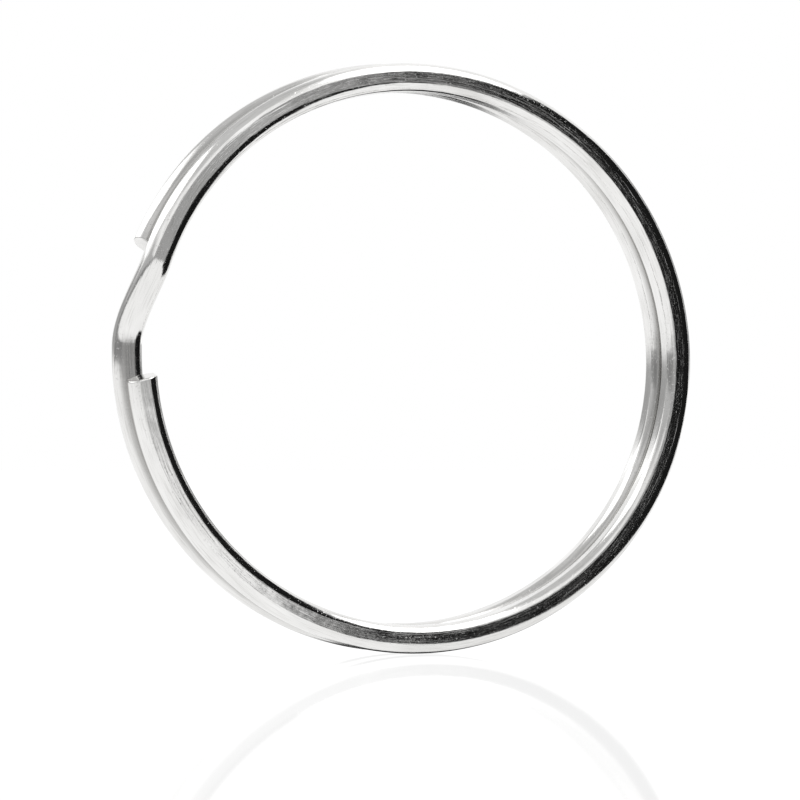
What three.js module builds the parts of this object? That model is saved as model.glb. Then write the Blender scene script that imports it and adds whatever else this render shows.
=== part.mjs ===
// A slim split key ring: one flattened, nickel-plated spring-steel wire wound into two turns that lie
// face to face. The wire starts at a free end on the front turn, runs once round the ring, steps back
// through a short bend, and runs once more round as the rear turn to its other free end.
//
// The wire flexes along its whole length when a turn is lifted to let a key in, so it is made here as
// a chain of short stretches, one mesh each, that meet end to end.
//
// Millimetres, +Z up. The ring stands on its rim: its axis is along Y, the front turn is on the -Y
// side, and the origin is on the surface that it stands on, below the middle of the ring.
import * as THREE from 'three';

// The wire's section.
const WIRE_WIDTH = 1.28; // along the ring's axis
const WIRE_THICKNESS = 1.43; // from the bore to the rim
const RIM_SHOULDER = { across: 0.58, down: 0.55 }; // half axes of the rounded corners at the rim
const BORE_SHOULDER = { across: 0.4, down: 0.45 }; // half axes of the rounded corners at the bore
const CORNER_FACETS = 3;

// The two turns. The rear one is a little wider than the front one and sits a little to the left.
const FRONT_RIM_RADIUS = 15.0;
const REAR_RIM_RADIUS = 15.1;
const TURN_SHIFT = 0.38;
const TURN_GAP = 0.06; // between the facing sides of the two turns

// Places along the wire, in degrees round the ring: 0 is on the right, 90 at the top. The count runs
// on past 360 as the wire is followed from the front free end to the rear one.
const FRONT_END = 183.7;
const STEP_BACK_FROM = 360 + 161;
const STEP_BACK_TO = 360 + 178.5;
const BEND_FROM = 360 + 160.5;
const BEND_TO = 360 + 179.5;
const REAR_END = 720 + 159.8;

// How the wire is divided.
const STRETCHES_PER_TURN = 12;
const JOINT_GAP = 0.04; // between the end faces of neighbouring stretches
const STRETCH_FACETS = 6;
const BEND_FACETS = 16;

const NICKEL = { color: 0xcfccc4, roughness: 0.14, metalness: 1.0 };

const RIM_DIFFERENCE = REAR_RIM_RADIUS - FRONT_RIM_RADIUS;
const FRONT_TURN = {
	x: (TURN_SHIFT + RIM_DIFFERENCE) / 2,
	y: -(WIRE_WIDTH + TURN_GAP) / 2,
	rim: FRONT_RIM_RADIUS,
};
const REAR_TURN = {
	x: (RIM_DIFFERENCE - TURN_SHIFT) / 2,
	y: (WIRE_WIDTH + TURN_GAP) / 2,
	rim: REAR_RIM_RADIUS,
};
const TANGENT_STEP = 0.01; // degrees, for the direction of the wire

// The middle of the wire's section at a place along it. Both turns stand on z = 0.
function wireCentre(degrees) {
	const back = THREE.MathUtils.smoothstep(degrees, STEP_BACK_FROM, STEP_BACK_TO);
	const rim = THREE.MathUtils.lerp(FRONT_TURN.rim, REAR_TURN.rim, back);
	const radius = rim - WIRE_THICKNESS / 2;
	const angle = THREE.MathUtils.degToRad(degrees);
	return new THREE.Vector3(
		THREE.MathUtils.lerp(FRONT_TURN.x, REAR_TURN.x, back) + radius * Math.cos(angle),
		THREE.MathUtils.lerp(FRONT_TURN.y, REAR_TURN.y, back),
		rim + radius * Math.sin(angle),
	);
}

function wireDirection(degrees) {
	const ahead = wireCentre(degrees + TANGENT_STEP);
	const behind = wireCentre(degrees - TANGENT_STEP);
	return ahead.sub(behind).normalize();
}

// A stretch of the wire's centre line. The section's first axis points to the front of the ring, as
// nearly as the direction of the wire allows, and its second axis points outwards from the bore.
class WirePath extends THREE.Curve {
	constructor(from, to) {
		super();
		this.from = from;
		this.to = to;
	}

	getPoint(share, target = new THREE.Vector3()) {
		return target.copy(wireCentre(THREE.MathUtils.lerp(this.from, this.to, share)));
	}

	getTangent(share, target = new THREE.Vector3()) {
		return target.copy(wireDirection(THREE.MathUtils.lerp(this.from, this.to, share)));
	}

	computeFrenetFrames(segments) {
		const tangents = [];
		const normals = [];
		const binormals = [];
		for (let i = 0; i <= segments; i++) {
			const tangent = this.getTangentAt(i / segments);
			const normal = new THREE.Vector3(0, -1, 0).projectOnPlane(tangent).normalize();
			tangents.push(tangent);
			normals.push(normal);
			binormals.push(new THREE.Vector3().crossVectors(tangent, normal));
		}
		return { tangents, normals, binormals };
	}
}

// The section: flat sides, a flat middle at the bore and at the rim, and four elliptical shoulders.
function wireSection() {
	const corners = [
		{ shoulder: RIM_SHOULDER, right: 1, up: 1, startAngle: 0 },
		{ shoulder: RIM_SHOULDER, right: -1, up: 1, startAngle: 90 },
		{ shoulder: BORE_SHOULDER, right: -1, up: -1, startAngle: 180 },
		{ shoulder: BORE_SHOULDER, right: 1, up: -1, startAngle: 270 },
	];
	const points = [];
	for (const { shoulder, right, up, startAngle } of corners) {
		const middleX = right * (WIRE_WIDTH / 2 - shoulder.across);
		const middleY = up * (WIRE_THICKNESS / 2 - shoulder.down);
		for (let i = 0; i <= CORNER_FACETS; i++) {
			const angle = THREE.MathUtils.degToRad(startAngle + (90 * i) / CORNER_FACETS);
			const x = middleX + shoulder.across * Math.cos(angle);
			const y = middleY + shoulder.down * Math.sin(angle);
			points.push(new THREE.Vector2(x, y));
		}
	}
	return new THREE.Shape(points);
}

const SECTION = wireSection();

function stretchOfWire(name, from, to, facets) {
	const middleRadius = FRONT_RIM_RADIUS - WIRE_THICKNESS / 2;
	const halfGap = THREE.MathUtils.radToDeg(JOINT_GAP / 2 / middleRadius);
	const path = new WirePath(from + halfGap, to - halfGap);
	const geometry = new THREE.ExtrudeGeometry(SECTION, { steps: facets, extrudePath: path });
	const mesh = new THREE.Mesh(geometry, new THREE.MeshStandardMaterial(NICKEL));
	mesh.name = name;
	return mesh;
}

// One turn, from its free end to the bend. Stretch 1 holds the free end, and the last stretch meets
// the bend.
function turnOfWire(side, freeEnd, bendEnd) {
	const turn = new THREE.Group();
	const span = (bendEnd - freeEnd) / STRETCHES_PER_TURN;
	for (let i = 0; i < STRETCHES_PER_TURN; i++) {
		const number = String(i + 1).padStart(2, '0');
		const name = i === 0 ? `${side}_free_end` : `${side}_stretch_${number}`;
		const edges = [freeEnd + i * span, freeEnd + (i + 1) * span];
		turn.add(stretchOfWire(name, Math.min(...edges), Math.max(...edges), STRETCH_FACETS));
	}
	return turn;
}

const ring = new THREE.Group();
ring.add(turnOfWire('front', FRONT_END, BEND_FROM));
ring.add(stretchOfWire('crossover_bend', BEND_FROM, BEND_TO, BEND_FACETS));
ring.add(turnOfWire('rear', REAR_END, BEND_TO));

export default ring;
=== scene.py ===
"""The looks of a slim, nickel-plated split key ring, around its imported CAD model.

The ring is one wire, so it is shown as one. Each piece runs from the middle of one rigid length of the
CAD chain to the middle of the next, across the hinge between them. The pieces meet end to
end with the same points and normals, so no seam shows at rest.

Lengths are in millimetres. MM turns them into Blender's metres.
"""
import math

import bpy
import numpy as np
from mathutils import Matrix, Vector


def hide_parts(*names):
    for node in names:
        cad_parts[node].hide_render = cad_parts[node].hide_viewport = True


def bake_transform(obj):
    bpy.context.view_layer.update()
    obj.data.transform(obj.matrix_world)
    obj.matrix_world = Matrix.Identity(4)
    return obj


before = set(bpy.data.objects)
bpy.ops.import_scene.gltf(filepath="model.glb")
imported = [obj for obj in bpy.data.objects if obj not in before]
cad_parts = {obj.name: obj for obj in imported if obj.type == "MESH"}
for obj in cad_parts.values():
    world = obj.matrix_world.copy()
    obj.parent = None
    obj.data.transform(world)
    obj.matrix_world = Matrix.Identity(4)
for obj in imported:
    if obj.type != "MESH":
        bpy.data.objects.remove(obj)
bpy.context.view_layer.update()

MM = 0.001

# ---------------------------------------------------------------- the wire's shape, as in the CAD model
WIRE_WIDTH = 1.28  # along the ring's axis
WIRE_THICKNESS = 1.43  # from the bore to the rim
RIM_SHOULDER = (0.58, 0.55)  # half axes of the rounded corners at the rim: across, down
BORE_SHOULDER = (0.4, 0.45)  # the same at the bore

FRONT_RIM_RADIUS = 15.0
REAR_RIM_RADIUS = 15.1
TURN_SHIFT = 0.38  # how much further left the rear turn sits
TURN_GAP = 0.06  # between the facing sides of the two turns

# Places along the wire in degrees: 0 is on the right, 90 at the top, and the count runs on past 360.
FRONT_END = 183.7
STEP_BACK_FROM = 360 + 161
STEP_BACK_TO = 360 + 178.5
BEND_FROM = 360 + 160.5
BEND_TO = 360 + 179.5
REAR_END = 720 + 159.8

LENGTHS_PER_TURN = 4  # rigid lengths of the CAD chain, each three stretches long
STRETCHES_PER_LENGTH = 3

# Each turn's middle to the right and to the back, and its rim radius. Both turns stand on z = 0.
RIM_DIFFERENCE = REAR_RIM_RADIUS - FRONT_RIM_RADIUS
FRONT_TURN = ((TURN_SHIFT + RIM_DIFFERENCE) / 2, -(WIRE_WIDTH + TURN_GAP) / 2, FRONT_RIM_RADIUS)
REAR_TURN = ((RIM_DIFFERENCE - TURN_SHIFT) / 2, (WIRE_WIDTH + TURN_GAP) / 2, REAR_RIM_RADIUS)

# ---------------------------------------------------------------- how finely the wire is drawn
RING_STEP = 0.9  # degrees between two rings of points
BEND_RING_STEP = 0.5
FEWEST_RINGS = 2
SHOULDER_STEPS = 9
FLAT_STEPS = 4
LIP = 0.10  # radius of the broken edge round each cut end
LIP_RINGS = 5
NORMAL_STEP = 0.02  # degrees, for the direction of the wire
MM_PER_DEGREE = math.radians(FRONT_RIM_RADIUS - WIRE_THICKNESS / 2)

# Each free end is nipped off at a slant, and the cut face lies back at the front and at the rim.
CUT_FRONT_SLANT = 0.26
CUT_RIM_SLANT = 0.26
CUT_REACH = 2.0  # how much of the wire's end gives way to the slant

# The slot between the turns starts this far across the wire, in shares of its width from the middle.
GROOVE_FROM = 0.36
GROOVE_TO = 0.56
GROOVE_FADE_AT_BEND = 4  # the higher, the further from the bend's middle the slot starts

# Names of the mesh attributes: each point's place in the wire, and how deep it lies in the slot.
WIRE_PLACE = "wire_place"
WIRE_GROOVE = "wire_groove"


def smooth(value, low, high):
    """0 below low, 1 above high, and an even S between them."""
    t = np.clip((value - low) / (high - low), 0, 1)
    return t * t * (3 - 2 * t)


def wire_centre(degrees):
    """The middle of the wire's section, in millimetres, for an array of places along it."""
    back = smooth(degrees, STEP_BACK_FROM, STEP_BACK_TO)
    x, y, rim = (a + (b - a) * back for a, b in zip(FRONT_TURN, REAR_TURN))
    radius = rim - WIRE_THICKNESS / 2
    angle = np.radians(degrees)
    return np.stack([x + radius * np.cos(angle), y, rim + radius * np.sin(angle)], -1)


def wire_axes(degrees):
    """The wire's direction, the way to the front of the ring, and the way out from the bore."""
    ahead = wire_centre(degrees + NORMAL_STEP)
    along = ahead - wire_centre(degrees - NORMAL_STEP)
    along /= np.linalg.norm(along, axis=-1, keepdims=True)
    front = np.array([0.0, -1.0, 0.0]) + along * along[..., 1:2]
    front /= np.linalg.norm(front, axis=-1, keepdims=True)
    return along, front, np.cross(along, front)


def section():
    """Points of the wire's outline and their normals, in (front, out) coordinates, going round once."""
    corners = [
        (RIM_SHOULDER, 1, 1, 0),
        (RIM_SHOULDER, -1, 1, 90),
        (BORE_SHOULDER, -1, -1, 180),
        (BORE_SHOULDER, 1, -1, 270),
    ]
    points, normals = [], []
    for (across, down), right, up, start in corners:
        middle = np.array([right * (WIRE_WIDTH / 2 - across), up * (WIRE_THICKNESS / 2 - down)])
        if points:
            add_flat(points, normals, middle, across, down, start)
        for i in range(SHOULDER_STEPS + 1):
            angle = math.radians(start + 90 * i / SHOULDER_STEPS)
            c, s = math.cos(angle), math.sin(angle)
            points.append(middle + (across * c, down * s))
            normal = np.array([c / across, s / down])
            normals.append(normal / np.linalg.norm(normal))
    (across, down), right, up, start = corners[0]
    middle = np.array([right * (WIRE_WIDTH / 2 - across), up * (WIRE_THICKNESS / 2 - down)])
    add_flat(points, normals, middle, across, down, start)
    return np.array(points), np.array(normals)


def add_flat(points, normals, middle, across, down, start):
    """Points on the flat between the last corner's end and the start of the next corner."""
    angle = math.radians(start)
    end = middle + (across * math.cos(angle), down * math.sin(angle))
    first = points[-1]
    for i in range(1, FLAT_STEPS):
        points.append(first + (end - first) * i / FLAT_STEPS)
        normals.append(normals[-1])


OUTLINE, OUTLINE_NORMALS = section()


def cut_recess(outline):
    """How far a slanted cut lies back from the wire's tip, over the section."""
    towards_front = outline[..., 0] / WIRE_WIDTH + 0.5
    towards_rim = outline[..., 1] / WIRE_THICKNESS + 0.5
    return CUT_FRONT_SLANT * towards_front + CUT_RIM_SLANT * towards_rim


def groove_depth(degrees, outline):
    """How deep a point lies between the two turns, from 0 to 1. It sets the painted shade and the extra
    roughness in the slot.
    """
    side = 2 * smooth(degrees, BEND_FROM, BEND_TO) - 1  # -1 on the front turn, 1 on the rear one
    inwards = outline[..., 0] / WIRE_WIDTH * side
    return smooth(inwards, GROOVE_FROM, GROOVE_TO) * np.abs(side) ** GROOVE_FADE_AT_BEND


def lip_rows(tip, way):
    """Rows of (place, inset, tilt) for the rounded lip of a cut end.

    way is +1 or -1, the way out of the metal along the wire.
    """
    rows = []
    for i in range(1, LIP_RINGS + 1):
        tilt = math.radians(90 * i / LIP_RINGS)
        back = LIP * (1 - math.sin(tilt))
        rows.append((tip - way * back / MM_PER_DEGREE, LIP * (1 - math.cos(tilt)), tilt))
    return rows if way > 0 else rows[::-1]


def wire_mesh(name, start, end, step, cut=0):
    """A closed mesh of the wire between two places along it, with exact normals.

    cut is -1 if the start is a cut end, or +1 if the end is. Each point knows its place in the wire: how
    far along, how far to the front and how far out from the middle of the section.
    """
    lip = LIP / MM_PER_DEGREE
    first = start + lip * (cut < 0)
    last = end - lip * (cut > 0)
    count = max(FEWEST_RINGS, math.ceil((last - first) / step))
    rows = [(place, 0.0, 0.0) for place in np.linspace(first, last, count + 1)]
    if cut:
        tip = start if cut < 0 else end
        rows = lip_rows(tip, cut) + rows if cut < 0 else rows + lip_rows(tip, cut)
    places, insets, tilts = (np.array(column)[:, None] for column in zip(*rows))

    outline = OUTLINE - OUTLINE_NORMALS * insets[..., None]
    degrees = places + np.zeros(len(OUTLINE))
    if cut:
        back = np.clip(1 - np.abs(places - tip) * MM_PER_DEGREE / CUT_REACH, 0, 1)
        degrees = degrees - cut * back * cut_recess(outline) / MM_PER_DEGREE
    along, front, out = wire_axes(degrees)
    points = wire_centre(degrees) + front * outline[..., :1] + out * outline[..., 1:]
    sides = front * OUTLINE_NORMALS[:, :1] + out * OUTLINE_NORMALS[:, 1:]
    slant = front * CUT_FRONT_SLANT / WIRE_WIDTH + out * CUT_RIM_SLANT / WIRE_THICKNESS
    caps = along * cut + slant
    caps /= np.linalg.norm(caps, axis=-1, keepdims=True)
    normals = sides * np.cos(tilts)[..., None] + caps * np.sin(tilts)[..., None]

    count, columns = degrees.shape
    faces, corner_normals = [], []
    for i in range(count - 1):
        for j in range(columns):
            k = (j + 1) % columns
            face = [(i, j), (i, k), (i + 1, k), (i + 1, j)]
            faces.append([a * columns + b for a, b in face])
            corner_normals += [normals[a, b] for a, b in face]
    for row, way in ((0, -1), (count - 1, 1)):
        faces.append([row * columns + j for j in list(range(columns))[::way]])
        corner_normals += [caps[row, 0] if way == cut else along[row, 0] * way] * columns
    mesh = bpy.data.meshes.new(name)
    mesh.from_pydata([Vector(v) for v in points.reshape(-1, 3) * MM], [], faces)
    mesh.polygons.foreach_set("use_smooth", [True] * len(mesh.polygons))
    cap_edges = {
        tuple(sorted((row * columns + j, row * columns + (j + 1) % columns)))
        for row in (0, count - 1)
        for j in range(columns)
    }
    for edge in mesh.edges:
        edge.use_edge_sharp = tuple(sorted(edge.vertices)) in cap_edges
    place = mesh.attributes.new(WIRE_PLACE, "FLOAT_VECTOR", "POINT")
    wire_places = np.concatenate([(degrees * MM_PER_DEGREE)[..., None], outline], -1)
    place.data.foreach_set("vector", wire_places.astype(np.float32).ravel())
    groove = mesh.attributes.new(WIRE_GROOVE, "FLOAT", "POINT")
    groove.data.foreach_set("value", groove_depth(degrees, outline).astype(np.float32).ravel())
    mesh.normals_split_custom_set([Vector(n).normalized() for n in corner_normals])
    return mesh


# ---------------------------------------------------------------- shader nodes
# Sockets of a Mix node: the two inputs that it mixes, and its result.
MIX_SOCKETS = {"FLOAT": (2, 3, 0), "RGBA": (6, 7, 2)}


def node(tree, kind, place, **values):
    """A shader node at a place in the graph, with its named inputs set."""
    made = tree.nodes.new(kind)
    made.location = place
    for name, value in values.items():
        if hasattr(made, name):
            setattr(made, name, value)
        else:
            made.inputs[name.replace("_", " ")].default_value = value
    return made


def noise(tree, place, vector, along, across, detail, seed):
    """Noise over the wire, with its cycles per millimetre along and across it."""
    stretch = node(tree, "ShaderNodeVectorMath", (place[0] - 200, place[1]), operation="MULTIPLY")
    stretch.inputs[1].default_value = (along, across, across)
    tree.links.new(vector, stretch.inputs[0])
    made = node(tree, "ShaderNodeTexNoise", place, noise_dimensions="4D", W=seed, Scale=1.0, Detail=detail)
    tree.links.new(stretch.outputs[0], made.inputs["Vector"])
    return made.outputs[0]


def ramp(tree, place, value, low, high, low_out=0.0, high_out=1.0, shape="LINEAR"):
    """A value from low_out to high_out, as the given one goes from low to high."""
    made = node(tree, "ShaderNodeMapRange", place, interpolation_type=shape)
    for socket, limit in zip(("From Min", "From Max", "To Min", "To Max"), (low, high, low_out, high_out)):
        made.inputs[socket].default_value = limit
    tree.links.new(value, made.inputs["Value"])
    return made.outputs[0]


def mix(tree, place, share, base, over, kind="RGBA"):
    """base where share is 0, and over where it is 1. base is a plain value or another node's output."""
    made = node(tree, "ShaderNodeMix", place, data_type=kind)
    base_socket, over_socket, result_socket = MIX_SOCKETS[kind]
    tree.links.new(share, made.inputs[0])
    if isinstance(base, bpy.types.NodeSocket):
        tree.links.new(base, made.inputs[base_socket])
    else:
        made.inputs[base_socket].default_value = base
    made.inputs[over_socket].default_value = over
    return made.outputs[result_socket]


def total(tree, place, values):
    """The sum of some outputs."""
    result = values[0]
    for value in values[1:]:
        made = node(tree, "ShaderNodeMath", place, operation="ADD")
        tree.links.new(result, made.inputs[0])
        tree.links.new(value, made.inputs[1])
        result = made.outputs[0]
    return result


# ---------------------------------------------------------------- nickel plate
NICKEL_BRIGHT = (0.90, 0.895, 0.885, 1)
NICKEL_DULL = (0.62, 0.615, 0.6, 1)
# Painted shade: the colour the slot between the two turns is darkened to, standing in for the shade that
# falls there.
GROOVE_PAINTED_SHADE = (0.36, 0.355, 0.345, 1)
PATCH_WEAR = 0.7  # how dull the dullest patches and hairlines are
HAIR_WEAR = 0.6

# Each noise: cycles per millimetre along the wire and across it, detail, and seed.
LINE_NOISE = (0.35, 7.0, 4.0, 1.0)  # drawing lines
HAIR_NOISE = (0.8, 16.0, 3.0, 2.0)  # hairlines
RIPPLE_NOISE = (0.9, 1.3, 2.0, 3.0)
GRIT_NOISE = (9.0, 11.0, 3.0, 4.0)  # pits
PATCH_NOISE = (0.22, 0.7, 5.0, 5.0)
PIT_RANGE = (0.62, 0.8)  # of the grit noise, from no pit to the deepest

# Depths in millimetres.
LINE_DEPTH = 0.009
HAIR_DEPTH = 0.004
RIPPLE_DEPTH = 0.008
PIT_DEPTH = 0.004

# Roughness from each cause, added up.
PATCH_ROUGHNESS = (0.05, 0.16)
LINE_ROUGHNESS = (0.0, 0.06)
PIT_ROUGHNESS = (0.0, 0.2)
GROOVE_ROUGHNESS = 0.12


def nickel_plate():
    """Bright nickel over drawn wire: drawing lines, a faint ripple, pits, duller patches from use, and
    painted shade in the slot between the turns.
    """
    material = bpy.data.materials.new("nickel_plate")
    material.use_nodes = True
    tree = material.node_tree
    shader = tree.nodes["Principled BSDF"]
    shader.inputs["Metallic"].default_value = 1.0
    place = node(tree, "ShaderNodeAttribute", (-1800, 0), attribute_name=WIRE_PLACE).outputs["Vector"]
    groove = node(tree, "ShaderNodeAttribute", (-1800, -1200), attribute_name=WIRE_GROOVE).outputs["Fac"]

    lines = noise(tree, (-1200, 600), place, *LINE_NOISE)
    hair = noise(tree, (-1200, 300), place, *HAIR_NOISE)
    ripple = noise(tree, (-1200, 0), place, *RIPPLE_NOISE)
    grit = noise(tree, (-1200, -300), place, *GRIT_NOISE)
    patches = noise(tree, (-1200, -600), place, *PATCH_NOISE)

    heights = [
        ramp(tree, (-900, 600), lines, 0.0, 1.0, 0.0, LINE_DEPTH),
        ramp(tree, (-900, 300), hair, 0.0, 1.0, 0.0, HAIR_DEPTH),
        ramp(tree, (-900, 0), ripple, 0.0, 1.0, 0.0, RIPPLE_DEPTH),
        ramp(tree, (-900, -300), grit, *PIT_RANGE, 0.0, -PIT_DEPTH),
    ]
    bump = node(tree, "ShaderNodeBump", (-300, -300), Strength=1.0, Distance=MM)
    tree.links.new(total(tree, (-600, 300), heights), bump.inputs["Height"])
    tree.links.new(bump.outputs[0], shader.inputs["Normal"])

    gloss = [
        ramp(tree, (-900, -600), patches, 0.35, 0.75, *PATCH_ROUGHNESS),
        ramp(tree, (-900, -900), lines, 0.4, 0.8, *LINE_ROUGHNESS),
        ramp(tree, (-900, -1200), grit, 0.6, 0.75, *PIT_ROUGHNESS),
        ramp(tree, (-900, -1500), groove, 0.0, 1.0, 0.0, GROOVE_ROUGHNESS),
    ]
    tree.links.new(total(tree, (-600, -900), gloss), shader.inputs["Roughness"])

    wear = [
        ramp(tree, (-900, 900), patches, 0.35, 0.8, 0.0, PATCH_WEAR),
        ramp(tree, (-900, 1200), hair, 0.5, 0.75, 0.0, HAIR_WEAR),
    ]
    worn = mix(tree, (-300, 300), total(tree, (-600, 0), wear), NICKEL_BRIGHT, NICKEL_DULL)
    # Painted shade: darken the colour in the slot between the turns, where the wire_groove attribute is
    # high.
    slot_shaded = mix(tree, (-100, 300), groove, worn, GROOVE_PAINTED_SHADE)
    tree.links.new(slot_shaded, shader.inputs["Base Color"])
    return material


NICKEL = nickel_plate()


def length_nodes(side, number):
    """The CAD nodes of one rigid length of a turn. Length 1 holds the free end."""
    first = (number - 1) * STRETCHES_PER_LENGTH + 1
    nodes = [f"{side}_stretch_{n:02d}" for n in range(first, first + STRETCHES_PER_LENGTH)]
    return [f"{side}_free_end" if n.endswith("_01") else n for n in nodes]


def make_turn(side, free_end, bend_end):
    """The pieces of one turn, each from the middle of one rigid length to the middle of the next.

    The first piece starts at the free end, and the last one ends in the middle of the bend.
    """
    span = (bend_end - free_end) / LENGTHS_PER_TURN
    bend_middle = (BEND_FROM + BEND_TO) / 2
    cut_way = -1 if bend_end > free_end else 1
    for number in range(1, LENGTHS_PER_TURN + 1):
        first = number == 1
        last = number == LENGTHS_PER_TURN
        middle = free_end + (number - 0.5) * span
        near = free_end if first else middle
        far = bend_middle if last else middle + span
        step = BEND_RING_STEP if last else RING_STEP
        name = f"{side}_wire_{number}"
        mesh = wire_mesh(name, min(near, far), max(near, far), step, cut=cut_way if first else 0)
        mesh.materials.append(NICKEL)
        piece = bpy.data.objects.new(name, mesh)
        bpy.context.scene.collection.objects.link(piece)
        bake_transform(piece)
        nodes = length_nodes(side, number)
        if last:
            nodes.append("crossover_bend")
        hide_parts(*nodes)


make_turn("front", FRONT_END, BEND_FROM)
make_turn("rear", REAR_END, BEND_TO)

# ---------------------------------------------------------------- camera and floor
CAMERA_AT = (-31.965, -99.788, 9.511)
CAMERA_AIM = (-4.988, -13.974, 12.382)
LENS = 92.32
SENSOR = 36.0
CLIP_START = 0.001  # metres
CLIP_END = 100

FLOOR_REACH = 3000  # from the middle to each side
FLOOR_CLEARANCE = 0.02  # below the ring
FLOOR_GLOW = 1.1
FLOOR_GLOSS = 0.2  # share of the floor's look that is a mirrored reflection
FLOOR_ROUGHNESS = 0.05
WHITE = (1, 1, 1, 1)


def make_camera():
    data = bpy.data.cameras.new("camera")
    data.lens = LENS
    data.sensor_width = SENSOR
    data.clip_start = CLIP_START
    data.clip_end = CLIP_END
    camera = bpy.data.objects.new("camera", data)
    bpy.context.scene.collection.objects.link(camera)
    camera.location = Vector(CAMERA_AT) * MM
    camera.rotation_mode = "QUATERNION"
    aim = (Vector(CAMERA_AIM) - Vector(CAMERA_AT)).normalized()
    camera.rotation_quaternion = aim.to_track_quat("-Z", "Y")
    bpy.context.scene.camera = camera


def make_floor():
    """A glossy white floor, which the ring itself does not mirror."""
    material = bpy.data.materials.new("white_gloss")
    material.use_nodes = True
    tree = material.node_tree
    tree.nodes.clear()
    output = node(tree, "ShaderNodeOutputMaterial", (600, 0))
    glow = node(tree, "ShaderNodeEmission", (0, 100), Strength=FLOOR_GLOW, Color=WHITE)
    gloss = node(tree, "ShaderNodeBsdfGlossy", (0, -100), Roughness=FLOOR_ROUGHNESS, Color=WHITE)
    both = node(tree, "ShaderNodeMixShader", (300, 0), Fac=FLOOR_GLOSS)
    tree.links.new(glow.outputs[0], both.inputs[1])
    tree.links.new(gloss.outputs[0], both.inputs[2])
    tree.links.new(both.outputs[0], output.inputs["Surface"])
    reach = FLOOR_REACH * MM
    mesh = bpy.data.meshes.new("floor")
    corners = [(-reach, -reach, 0), (reach, -reach, 0), (reach, reach, 0), (-reach, reach, 0)]
    mesh.from_pydata(corners, [], [(0, 1, 2, 3)])
    mesh.materials.append(material)
    floor = bpy.data.objects.new("floor", mesh)
    floor.location.z = -FLOOR_CLEARANCE * MM
    floor.visible_glossy = False
    bpy.context.scene.collection.objects.link(floor)


# ---------------------------------------------------------------- lights
# The studio round the ring, as its mirror-like surface sees it: cards and dark flags on a white dome.
# Each is a convex shape with its corners at (azimuth, elevation) in degrees, azimuth 0 in front of the
# ring and 90 on its right. Corners go anticlockwise, as seen from outside. Later cards cover earlier ones.
DOME = 1.0
BACKDROP = 1.0  # what the camera sees behind the ring
CARDS = [
    # (brightness, softness of the edges, corners)
    (0.60, 0.10, [(-172, 24), (-115, 30), (-60, 28), (-12, 30), (2, 60), (10, 85), (170, 70)]),
    (2.6, 0.05, [(14, 24), (40, 36), (80, 58), (20, 88), (0, 60)]),
    (0.50, 0.06, [(-115, 2), (-15, 2), (-20, 28), (-60, 30), (-115, 30)]),
    (0.40, 0.04, [(-176, 2), (-115, 2), (-115, 30), (-150, 19), (-176, 11)]),
    (1.7, 0.03, [(-168, 15), (-105, 25), (-45, 36), (-42, 54), (-125, 54), (-170, 30)]),
    (0.26, 0.03, [(-130, 0), (-20, 0), (-25, 7), (-115, 7)]),
    (0.38, 0.04, [(-25, 1), (18, 1), (18, 14), (-5, 12), (-25, 9)]),
    (0.30, 0.06, [(105, 2), (143, 2), (140, 26), (110, 30)]),
    (1.2, 0.03, [(92, -9), (155, -3), (155, 1), (92, 1)]),
    (0.01, 0.03, [(12, -8), (45, -30), (97, -20), (100, 10), (20, 6)]),
    (0.02, 0.06, [(140, -60), (178, -60), (170, -14), (146, -14)]),
    (0.01, 0.03, [(20, 4), (100, 4), (102, 36), (68, 50), (14, 14)]),
]


def direction(azimuth, elevation):
    """The way from the ring to a place in the studio, given in degrees."""
    a, e = math.radians(azimuth), math.radians(elevation)
    return Vector((math.sin(a) * math.cos(e), -math.cos(a) * math.cos(e), math.sin(e)))


def edge_share(tree, place, way, corner, next_corner, softness):
    """1 on the card's side of one of its edges, 0 beyond, with a soft change between."""
    edge = direction(*corner).cross(direction(*next_corner)).normalized()
    height = node(tree, "ShaderNodeVectorMath", place, operation="DOT_PRODUCT")
    tree.links.new(way, height.inputs[0])
    height.inputs[1].default_value = edge
    ramp_place = (place[0] + 200, place[1])
    return ramp(tree, ramp_place, height.outputs["Value"], -softness, softness, shape="SMOOTHSTEP")


def make_world():
    """The studio for everything but the camera, which sees a plain backdrop."""
    world = bpy.data.worlds.new("studio")
    bpy.context.scene.world = world
    world.use_nodes = True
    tree = world.node_tree
    background = tree.nodes["Background"]
    way = node(tree, "ShaderNodeTexCoord", (-1600, 0)).outputs["Generated"]
    light = DOME
    for number, (brightness, softness, corners) in enumerate(CARDS):
        row = -200 * number
        inside = None
        for corner, next_corner in zip(corners, corners[1:] + corners[:1]):
            share = edge_share(tree, (-1400, row), way, corner, next_corner, softness)
            if inside is None:
                inside = share
            else:
                both = node(tree, "ShaderNodeMath", (-1000, row), operation="MULTIPLY")
                tree.links.new(inside, both.inputs[0])
                tree.links.new(share, both.inputs[1])
                inside = both.outputs[0]
        light = mix(tree, (-800, row), inside, light, brightness, kind="FLOAT")
    seen = node(tree, "ShaderNodeLightPath", (-800, 300)).outputs["Is Camera Ray"]
    final = mix(tree, (-400, 0), seen, light, BACKDROP, kind="FLOAT")
    tree.links.new(final, background.inputs["Strength"])
    background.inputs["Color"].default_value = WHITE


make_camera()
make_floor()
make_world()
bpy.context.scene.view_settings.view_transform = "Standard"
